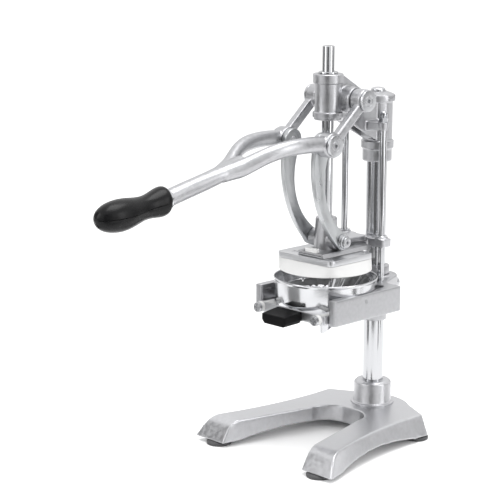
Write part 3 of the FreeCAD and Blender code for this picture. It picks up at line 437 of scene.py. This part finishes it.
plated_steel = metal("plated_steel", (0.42, 0.425, 0.44), (0.55, 0.555, 0.57), (0.24, 0.34), 90.0, 900.0, 0.08)
cap = turned("column_cap", [(4.9, 396.0), (4.9, 415.4), (8.7, 415.4)]
             + softened([(8.7, 415.4), (8.7, 421.0), (7.6, 422.8), (4.6, 423.8), (0, 424.0)]), 64)
moved(cap, 0, 89.1, 0)
finished(cap, "frame", plated_steel, ["column_cap_screw"])

# Guide rod ends: a chromed acorn nut on each rod above the arm's ear, and a
# plain hexagon nut below the bracket.

dark_chrome = metal("dark_chrome", (0.40, 0.41, 0.43), (0.50, 0.51, 0.53), (0.06, 0.12), 90.0, 900.0, 0.04)
for side, x in (("right", 29.8), ("left", -29.8)):
    hexagon = turned("acorn_hexagon", [(4.0, 386.6), (5.2, 386.6), (5.77, 387.1), (5.77, 391.2), (5.3, 391.8),
                                       (4.0, 391.8), (4.0, 386.6)], 6)
    dome = turned("acorn_dome", [(4.0, 391.6)] + softened([(4.7, 391.6), (4.7, 396.4), (3.9, 398.8), (2.2, 400.0),
                                                           (0, 400.3)]), 48)
    nut = joined("acorn_nut_" + side + "_chromed", [hexagon, dome])
    moved(nut, x, 65.1, 0)
    finished(nut, "frame", dark_chrome, ["acorn_nut_" + side])
nuts = []
for x in (29.8, -29.8):
    nut = turned("rod_nut", [(4.0, 158.5), (5.8, 158.5), (6.35, 159.0), (6.35, 163.0), (5.8, 163.5), (4.0, 163.5),
                             (4.0, 158.5)], 6)
    nuts.append(moved(nut, x, 65.1, 0))
finished(joined("rod_nuts_below", nuts), "frame", plated_steel, ["rod_lower_nuts"])

# Ram bush: a turned steel sleeve in the arm, with its lip showing on top.
bush = turned("ram_bush_sleeve", [(7.05, 394.0), (9.9, 394.0), (9.9, 446.6), (11.2, 446.6), (11.6, 447.0),
                                  (11.6, 448.0), (11.2, 448.8), (10.4, 449.0), (7.6, 449.0), (7.05, 448.4),
                                  (7.05, 394.0)], 64)
finished(bush, "frame", polished_bar, ["ram_bush"])

# Lever: one casting, a round stem that parts into two tines, with a crank of two
# eyes on each side. The parts are drawn, cast into one soft-edged body, and the
# eyes are bored for the bolts.


def ringed(name, rings, around=48):
    """A body drawn through oval rings (x, y, middle height, half width, half height), closed at both ends."""
    put_down()
    x, y, z, wide, high = rings[0]
    bpy.ops.mesh.primitive_circle_add(vertices=around, radius=0.001, fill_type="NGON", location=at(x, y, z),
                                      rotation=(math.radians(90), 0, 0))
    piece = bpy.context.object
    piece.name = name
    bpy.ops.object.transform_apply(location=True, rotation=True)
    bpy.ops.object.mode_set(mode="EDIT")
    bpy.ops.mesh.select_all(action="SELECT")
    bpy.ops.transform.resize(value=(wide, 1, high), center_override=at(x, y, z))
    for near, far in zip(rings, rings[1:]):
        move = (Vector(far[:3]) - Vector(near[:3])) / 1000
        bpy.ops.mesh.extrude_region_move(TRANSFORM_OT_translate={"value": move})
        bpy.ops.transform.resize(value=(far[3] / near[3], 1, far[4] / near[4]), center_override=at(*far[:3]))
    bpy.ops.mesh.select_all(action="SELECT")
    bpy.ops.mesh.normals_make_consistent(inside=False)
    bpy.ops.object.mode_set(mode="OBJECT")
    return piece


stem = [(0, -257.5, 329.9, 10, 10), (0, -247, 332, 10, 10), (0, -232, 335.4, 10, 10), (0, -210, 340, 10, 9.9),
        (0, -190, 344.3, 10.6, 9.7), (0, -176, 347.8, 11.6, 9.4), (0, -163, 351.2, 14.0, 9.2), (0, -151, 354.2, 13, 9.2),
        (0, -141.5, 358.6, 9, 7.6)]
tine = [(2.5, -176, 347.6, 8.6, 9.0), (6, -164, 350.4, 9.4, 9.6), (11, -151, 353.6, 9.6, 10.4),
        (18, -137, 360.6, 9.0, 9.8), (25, -122, 367.4, 8.6, 9.2), (30.5, -104, 371.8, 8.4, 9.2),
        (34, -84, 373.4, 8.2, 9.2), (35.2, -62, 373.4, 7.6, 9.3), (35.2, -42, 371.6, 7.2, 9.4)]
parts = [ringed("stem", softened(stem), 40)]
for way in (1, -1):
    parts.append(ringed("tine", [(way * x, y, z, wide, high) for x, y, z, wide, high in softened(tine)], 40))
    for y, z, inner, radius, bore in ((20.0, 416.5, 27.3, 13.5, 5.05), (-35.0, 370.0, 27.8, 14.5, 5.0)):
        eye = peg(way * (inner + 42.7) / 2, y, z, radius, 42.7 - inner, sides=72)
        cut(eye, peg(way * 35, y, z, bore, 30.0))
        parts.append(eye)
    for low, high, inner, outer in ((-5.8, 5.8, 33.7, 42.7),):
        near, far = Vector((14.6, 412.0)), Vector((-29.6, 374.5))
        across = (far - near).normalized().orthogonal()
        corners = [near + across * low, far + across * low, far + across * high, near + across * high]
        crank = [(way * (0 - z), y) for y, z in corners]
        put_down()
        piece = drawn("crank", [(a, b, inner) for a, b in crank])
        bpy.ops.mesh.edge_face_add()
        bpy.ops.mesh.extrude_region_move(TRANSFORM_OT_translate={"value": (0, 0, (outer - inner) / 1000)})
        bpy.ops.mesh.select_all(action="SELECT")
        bpy.ops.mesh.normals_make_consistent(inside=False)
        bpy.ops.object.mode_set(mode="OBJECT")
        parts.append(moved(piece, 0, 0, 0, (0, 90 * way, 0)))
lever = joined("lever_casting", parts)
recast(lever, 1.0, 6)
finished(lever, "lever", cast_aluminium, ["lever"], smooth=0)

# Grip: moulded glossy black, drawn through rings along the bent stem, with the
# mould's parting line as a fine groove along each side, and a steel collar.
gloss_black = metal("gloss_black", (0.004, 0.004, 0.0045), (0.007, 0.007, 0.0075), (0.20, 0.32), 50.0, 900.0, 0.05,
                    metallic=0.0)
gloss_black.node_tree.nodes["Principled BSDF"].inputs["Specular IOR Level"].default_value = 0.16
rings = softened([(0, y, z, radius, radius) for y, z, radius in (
    (-257.6, 329.8, 12.0), (-257.6, 329.8, 14.2), (-258.4, 329.7, 15.6), (-261.0, 329.3, 16.3), (-265.5, 328.6, 16.2),
    (-272.0, 327.6, 14.9), (-281.0, 326.2, 13.3), (-290.0, 324.8, 13.2), (-300.0, 323.4, 14.9), (-311.0, 322.3, 17.0),
    (-322.0, 321.6, 17.6), (-333.0, 321.2, 16.4), (-342.0, 320.8, 13.6), (-348.6, 320.6, 9.2), (-351.6, 320.6, 3.2))])
grip = ringed("grip_moulded", rings, 64)


def on_parting_line(spot):
    """Whether a point of the grip lies at the height of its middle, on either side."""
    y = spot.y * 1000 - RAM_Y
    for (_, near, low, *_), (_, far, high, *_) in zip(rings, rings[1:]):
        if far - 0.01 <= y <= near + 0.01 and near - far > 0.001:
            middle = low + (high - low) * (near - y) / (near - far)
            if abs(spot.z * 1000 - middle) < 0.04:
                return True
    return False


take_up(grip)
bpy.ops.object.mode_set(mode="EDIT")
bpy.ops.mesh.select_mode(type="EDGE")
bpy.ops.mesh.select_all(action="DESELECT")
bpy.ops.object.mode_set(mode="OBJECT")
for edge in grip.data.edges:
    edge.select = all(on_parting_line(grip.data.vertices[end].co) for end in edge.vertices)
bpy.ops.object.mode_set(mode="EDIT")
bpy.ops.mesh.bevel(offset=0.00045, segments=2, affect="EDGES")
bpy.ops.mesh.select_mode(type="VERT")
bpy.ops.mesh.select_all(action="DESELECT")
bpy.ops.object.mode_set(mode="OBJECT")
for point in grip.data.vertices:
    point.select = on_parting_line(point.co) and point.co.y * 1000 - RAM_Y < -262
bpy.ops.object.mode_set(mode="EDIT")
bpy.ops.transform.shrink_fatten(value=-0.0006)
bpy.ops.object.mode_set(mode="OBJECT")
finished(grip, "lever", gloss_black, ["grip"], smooth=50)
ferrule = turned("grip_collar", [(9.8, 252.4), (11.2, 252.4), (11.8, 252.8), (12.0, 253.4), (12.0, 257.2),
                                 (11.6, 257.7), (9.8, 257.7), (9.8, 252.4)], 64)
moved(ferrule, 0, 0, 330.3, (90, 0, 0))
finished(ferrule, "lever", polished_bar, ["grip_ferrule"])

# Bolts of the lever: broad turned discs with a raised rim, an inner ring and a
# hexagon socket, each with its shank towards the middle.
for side, way in (("right", 1), ("left", -1)):
    for kind, body, y, z, end, low in (("pivot", "frame", 20.0, 416.5, 11.5, 43.0),
                                       ("crank", "lever", -35.0, 370.0, 20.5, 42.7)):
        bolt = turned("%s_bolt_%s_turned" % (kind, side), [
            (0, end), (4.7, end), (5.0, end + 0.4), (5.0, low), (12.2, low), (12.7, low + 0.5), (12.7, 45.2),
            (12.4, 45.8), (11.8, 46.0), (6.6, 46.0), (6.2, 45.6), (5.7, 45.6), (5.3, 46.0), (3.6, 46.0),
            (0, 46.0)], 96)
        moved(bolt, 0, y, z, (0, 90 * way, 0))
        cut(bolt, peg(way * 45.9, y, z, 2.6, 4.6, sides=6))
        finished(bolt, body, plated_steel, ["%s_bolt_%s" % (kind, side)])

# Links: two bowed flat steel bars with rounded eyes, bevelled all round, and
# drilled for the crank bolts and the eye bolts.


def bow(near, middle, far, steps=28):
    """Points along the circle through three places, without its two ends."""
    (ax, ay), (bx, by), (cx, cy) = near, middle, far
    span = 2 * (ax * (by - cy) + bx * (cy - ay) + cx * (ay - by))
    squares = [p * p + q * q for p, q in (near, middle, far)]
    across = (squares[0] * (by - cy) + squares[1] * (cy - ay) + squares[2] * (ay - by)) / span
    up = (squares[0] * (cx - bx) + squares[1] * (ax - cx) + squares[2] * (bx - ax)) / span
    radius = math.hypot(ax - across, ay - up)
    start = math.degrees(math.atan2(ay - up, ax - across))
    end = math.degrees(math.atan2(cy - up, cx - across))
    if end - start > 180:
        end -= 360
    if start - end > 180:
        end += 360
    return arc(across, up, radius, start, end, steps)[1:-1]


link_steel = metal("link_steel", (0.40, 0.41, 0.42), (0.50, 0.51, 0.52), (0.26, 0.36), 40.0, 800.0, 0.10)
eye_top = arc(-35.0, 370.0, 13.4, 190.0, -25.0, 30)
eye_low = arc(0.0, 251.0, 10.0, 207.0, 421.0, 30)
side_line = (bow(eye_top[-1], (-31.3, 311.0), eye_low[-1]) + eye_low[::-1]
             + bow(eye_low[0], (-47.4, 316.0), eye_top[0]))
link_line = [(-z, y) for y, z in eye_top + side_line]
for side, way in (("right", 1), ("left", -1)):
    link = plate("link_%s_bar" % side, [(way * across, up) for across, up in link_line], 20.5, 27.5, 1.0)
    moved(link, 0, 0, 0, (0, 90 * way, 0))
    for y, z, radius in ((-35.0, 370.0, 5.05), (0, 251.0, 4.0)):
        cut(link, peg(way * 24, y, z, radius, 12.0))
    finished(link, "links", link_steel, ["link_" + side])
    washer = turned("eye_washer_%s_turned" % side, [
        (4.0, 27.5), (9.2, 27.5), (9.6, 27.9), (9.6, 28.7), (9.2, 29.1), (8.3, 29.1), (8.0, 29.4), (8.0, 30.9),
        (7.5, 31.5), (6.9, 31.7), (4.0, 31.7), (4.0, 27.5)], 64)
    moved(washer, 0, 0, 251.0, (0, 90 * way, 0))
    finished(washer, "links", plated_steel, ["eye_washer_" + side])
    bolt = turned("eye_bolt_%s_turned" % side, [
        (0, 20.5), (4.0, 20.5), (4.0, 31.7), (5.9, 31.7), (6.3, 32.1), (6.3, 33.6), (5.7, 34.3), (4.9, 34.5),
        (4.2, 34.5), (3.8, 34.2), (0, 34.2)], 64)
    moved(bolt, 0, 0, 251.0, (0, 90 * way, 0))
    cut(bolt, peg(way * 34.2, 0, 251.0, 2.3, 4.0, sides=6))
    finished(bolt, "links", plated_steel, ["eye_bolt_" + side])

# Ram block and yoke: two small castings on the ram; steel bushes guide the yoke
# on the rods.
# The yoke takes the lighter copy of the cast aluminium, painted light.
yoke = copy_of("yoke", "yoke_casting")
recast(yoke, 0.6, 3)
finished(yoke, "ram", cast_aluminium_painted_light, ["yoke"], smooth=0)


def rounded(left, low, right, high, corner):
    """The outline of a rectangle with rounded corners."""
    return (arc(right - corner, low + corner, corner, -90, 0) + arc(right - corner, high - corner, corner, 0, 90)
            + arc(left + corner, high - corner, corner, 90, 180)
            + arc(left + corner, low + corner, corner, 180, 270))


block = turned("block_body", [(0, 237.5), (14.8, 237.5), (14.3, 240.0), (13.9, 250.0), (13.1, 262.0), (12.8, 275.6),
                              (12.0, 277.6), (7.05, 277.6), (7.05, 253.0), (0, 253.0)], 72)
rail = plate("block_rail", [(23.4, 0.2), (23.4, 2.4), (24.4, 2.4), (27.0, -2.2), (25.0, -2.2), (25.0, 0.2)],
             -51.0, 33.0, 0)
block = joined("ram_block_casting", [
    block, peg(0, 0, 251.0, 10.6, 40.4, sides=64)])
recast(block, 0.55, 3)
flange = plate("block_flange", rounded(-15.0, -33.0, 24.4, 51.0, 2.0), 237.5, 239.9, 0.25)
block = joined("ram_block_casting", [block, moved(rail, 0, 0, 237.5, (90, 0, 0)), flange])
finished(block, "ram", cast_aluminium, ["ram_block"])
for side, x in (("right", 29.8), ("left", -29.8)):
    bush = turned("yoke_bush_%s_turned" % side, [
        (4.05, 236.4), (5.9, 236.4), (6.0, 236.6), (6.0, 248.5), (7.3, 248.5), (7.6, 248.8), (7.6, 249.5),
        (7.2, 249.9), (4.05, 249.9), (4.05, 236.4)], 48)
    moved(bush, x, 65.1, 0)
    finished(bush, "ram", polished_bar, ["yoke_bush_" + side])

# Press plate: a brushed plate with rounded corners, the slide plate on it, the
# white key that locks them, and four screws.

brushed_plate = metal("brushed_plate", (0.50, 0.505, 0.52), (0.60, 0.605, 0.62), (0.28, 0.38), 30.0, 420.0, 0.03,
                      stretch=(1, 0.12, 1))
white_nylon = metal("white_nylon", (0.55, 0.55, 0.547), (0.60, 0.60, 0.597), (0.30, 0.42), 40.0, 700.0, 0.06,
                    metallic=0.0)
press_plate = plate("press_plate_brushed", rounded(-46, -37.5, 43, 37.5, 7.0), 228.0, 234.9, 0.7)
finished(press_plate, "ram", brushed_plate, ["press_plate"])
layers = [plate("slide_layer", rounded(-12.5, -30.5, 21.9, 48.5, 2.0), 234.9, 235.6, 0),
          plate("slide_layer", rounded(-15.0, -33.0, 24.4, 51.0, 2.0), 235.5, 237.0, 0.3),
          plate("slide_layer", rounded(-12.5, -30.5, 21.9, 48.5, 2.0), 236.9, 237.5, 0)]
finished(joined("slide_plate_brushed", layers), "ram", brushed_plate, ["slide_plate"])
key = plate("lock_key_white", rounded(-3.0, -33.0, 15.0, -27.5, 0.8), 239.9, 244.9, 0.6)
finished(key, "ram", white_nylon, ["lock_key"])
screws = []
for x, y in ((-28.0, -24.0), (-28.0, 24.0), (34.0, -28.0), (34.0, 28.0)):
    screw = turned("plate_screw", [(0, 222.4), (2.4, 222.4), (2.4, 234.5), (4.0, 234.5), (4.1, 234.8), (4.0, 235.1),
                                   (3.6, 235.3), (0, 235.3)], 40)
    moved(screw, x, y, 0)
    cut(screw, peg(x, y, 235.2, 1.5, 1.0, (0, 0, 0), 6))
    screws.append(screw)
finished(joined("plate_screws_four", screws), "ram", plated_steel, ["plate_screws"])

# Press block: white nylon, square with round corners under the plate and
# flaring to a round, shallowly domed face.
block = copy_of("press_block", "press_block_moulded")
for point in block.data.vertices:
    depth = min(1.0, (228.0 - point.co.z * 1000) / 21.0)
    if point.co.x < -0.034:
        point.co.x -= 0.003 * (1 - depth)
    point.co.x *= 1 - 0.03 * depth
    point.co.y = at(0, 0, 0).y + (point.co.y - at(0, 0, 0).y) * (1 - 0.03 * depth)
    point.co.z -= 0.0014 * depth
recast(block, 0.7, 2)
finished(block, "ram", white_nylon, ["press_block"], smooth=0)

# Cup: spun and polished stainless with a thin rolled rim and a funnel spout,
# and the perforated strainer inside it.
spun_steel = metal("spun_steel", (0.50, 0.505, 0.52), (0.62, 0.625, 0.64), (0.14, 0.21), 14.0, 300.0, 0.04,
                   stretch=(0.3, 0.3, 3))
cup = turned("cup_spun", [(5.0, 136.0), (6.2, 136.0)]
             + softened([(6.2, 136.0), (6.6, 148.0), (7.2, 152.4), (9.2, 155.6), (14.0, 158.0), (44.0, 166.2),
                         (50.0, 168.0), (55.4, 171.6), (59.4, 178.6), (60.6, 186.0), (61.2, 202.6)])
             + softened([(61.2, 202.8), (61.5, 203.6), (62.1, 204.6), (62.2, 205.9), (61.6, 206.6), (60.7, 206.4),
                         (60.2, 205.2), (60.0, 203.0)])
             + softened([(60.0, 202.0), (59.4, 186.2), (58.2, 179.2), (54.4, 172.8), (49.4, 169.4), (43.6, 167.5),
                         (13.6, 159.3), (8.6, 156.8), (6.1, 153.2), (5.4, 148.2), (5.0, 136.0)]), 128)
take_up(cup)
bpy.ops.object.mode_set(mode="EDIT")
bpy.ops.mesh.select_all(action="SELECT")
bpy.ops.mesh.bisect(plane_co=at(0, -8.0, 134.0), plane_no=(0, 9.0, -16.0), clear_outer=True, use_fill=False)
bpy.ops.mesh.select_all(action="DESELECT")
bpy.ops.mesh.select_non_manifold(extend=False, use_boundary=True)
bpy.ops.mesh.bridge_edge_loops()
bpy.ops.object.mode_set(mode="OBJECT")
finished(cup, "frame", spun_steel, ["cup"])
strainer = copy_of("strainer", "strainer_perforated")
finished(strainer, "frame", spun_steel, ["strainer"])

# Front bar: a flat bar between the bracket's arms with a black knob, and a
# knurled screw in a white sleeve at each end.


def box(name, low, high, bevel):
    """A block between two corners, with its edges bevelled."""
    put_down()
    middle = [(a + b) / 2 for a, b in zip(low, high)]
    bpy.ops.mesh.primitive_cube_add(size=0.001, location=at(*middle))
    piece = bpy.context.object
    piece.name = name
    piece.scale = [b - a for a, b in zip(low, high)]
    bpy.ops.object.transform_apply(location=True, rotation=True, scale=True)
    if bevel:
        fit(piece, "BEVEL", width=bevel / 1000, segments=3)
    return piece


bar = joined("front_bar_flat", [box("bar", (-52.5, -61.0, 164.5), (52.5, -58.6, 176.3), 0.5),
                                box("tongue", (51.2, -59.0, 165.5), (53.6, -33.0, 175.3), 0.4),
                                box("tongue", (-53.6, -59.0, 165.5), (-51.2, -33.0, 175.3), 0.4)])
for x in (45.6, -45.6):
    cut(bar, peg(x, -60.0, 171.0, 4.0, 8.0, (90, 0, 0)))
finished(bar, "front_bar", brushed_plate, ["front_bar"])
satin_black = metal("satin_black", (0.004, 0.004, 0.0045), (0.007, 0.007, 0.0075), (0.34, 0.46), 60.0, 900.0, 0.12,
                    metallic=0.0)
satin_black.node_tree.nodes["Principled BSDF"].inputs["Specular IOR Level"].default_value = 0.05
knob = copy_of("front_knob", "front_knob_moulded")
recast(knob, 0.6, 5)
finished(knob, "front_bar", satin_black, ["front_knob"], smooth=0)
screws = []
for x in (9.0, -9.0):
    screw = turned("knob_screw", [(0, 55.1), (3.0, 55.1), (3.6, 55.7), (3.6, 57.5), (2.0, 57.5), (2.0, 70.0), (0, 70.0)], 32)
    screws.append(moved(screw, x, 0, 168.5, (90, 0, 0)))
finished(joined("knob_screws_two", screws), "front_bar", plated_steel, ["knob_screws"])
for side, x in (("right", 45.6), ("left", -45.6)):
    sleeve = turned("sleeve_%s_white" % side, [
        (2.5, 42.0), (4.9, 42.0), (5.2, 42.4), (5.2, 58.6), (4.0, 58.6), (4.0, 61.0), (6.0, 61.0), (6.4, 61.4),
        (6.4, 65.2), (6.0, 66.0), (2.5, 66.0), (2.5, 42.0)], 48)
    moved(sleeve, x, 0, 171.0, (90, 0, 0))
    finished(sleeve, "front_bar", white_nylon, ["nylon_sleeve_" + side])
    screw = turned("front_screw_%s_knurled" % side, [
        (0, 53.0), (2.5, 53.0), (2.5, 66.0), (5.9, 66.0), (6.2, 66.3), (6.2, 68.9), (5.6, 69.6), (0, 69.6)], 56)
    moved(screw, x, 0, 171.0, (90, 0, 0))
    for across, up in ((9.0, 1.4), (1.4, 9.0)):
        cut(screw, box("slot", (x - across / 2, -70.5, 171.0 - up / 2), (x + across / 2, -68.4, 171.0 + up / 2), 0))
    finished(screw, "front_bar", plated_steel, ["front_screw_" + side])

# Screws that hide below and behind: one in each foot, the column's foot screw
# and the bracket's clamp screw.
screws = []
for x, y in ((82.5, -96.0), (-82.5, -96.0), (71.0, 89.0), (-71.0, 89.0)):
    screw = turned("foot_screw", [(0, 0.9), (3.4, 0.9), (4.2, 1.7), (4.3, 2.5), (2.0, 2.5), (2.0, 14.5), (0, 14.5)], 32)
    moved(screw, x, y, 0)
    cut(screw, box("slot", (x - 5.0, y - 0.5, 0.4), (x + 5.0, y + 0.5, 1.7), 0))
    screws.append(screw)
finished(joined("foot_screws_four", screws), "frame", plated_steel, ["foot_screws"])
screw = turned("column_screw", [(0, 7.0), (7.9, 7.0), (8.5, 7.6), (8.5, 13.0), (5.0, 13.0), (5.0, 32.0), (0, 32.0)], 48)
moved(screw, 0, 89.1, 0)
cut(screw, peg(0, 89.1, 8.5, 4.6, 5.0, (0, 0, 0), 6))
finished(screw, "frame", plated_steel, ["column_foot_screw"])
screw = turned("clamp_screw", [(0, -101.7), (4.0, -101.7), (4.0, -124.0), (6.2, -124.0), (6.5, -124.3),
                               (6.5, -129.4), (6.0, -130.0), (0, -130.0)], 48)
moved(screw, 0, 0, 178.0, (90, 0, 0))
cut(screw, peg(0, 129.0, 178.0, 2.9, 4.0, (90, 0, 0), 6))
finished(screw, "frame", plated_steel, ["bracket_clamp_screw"])
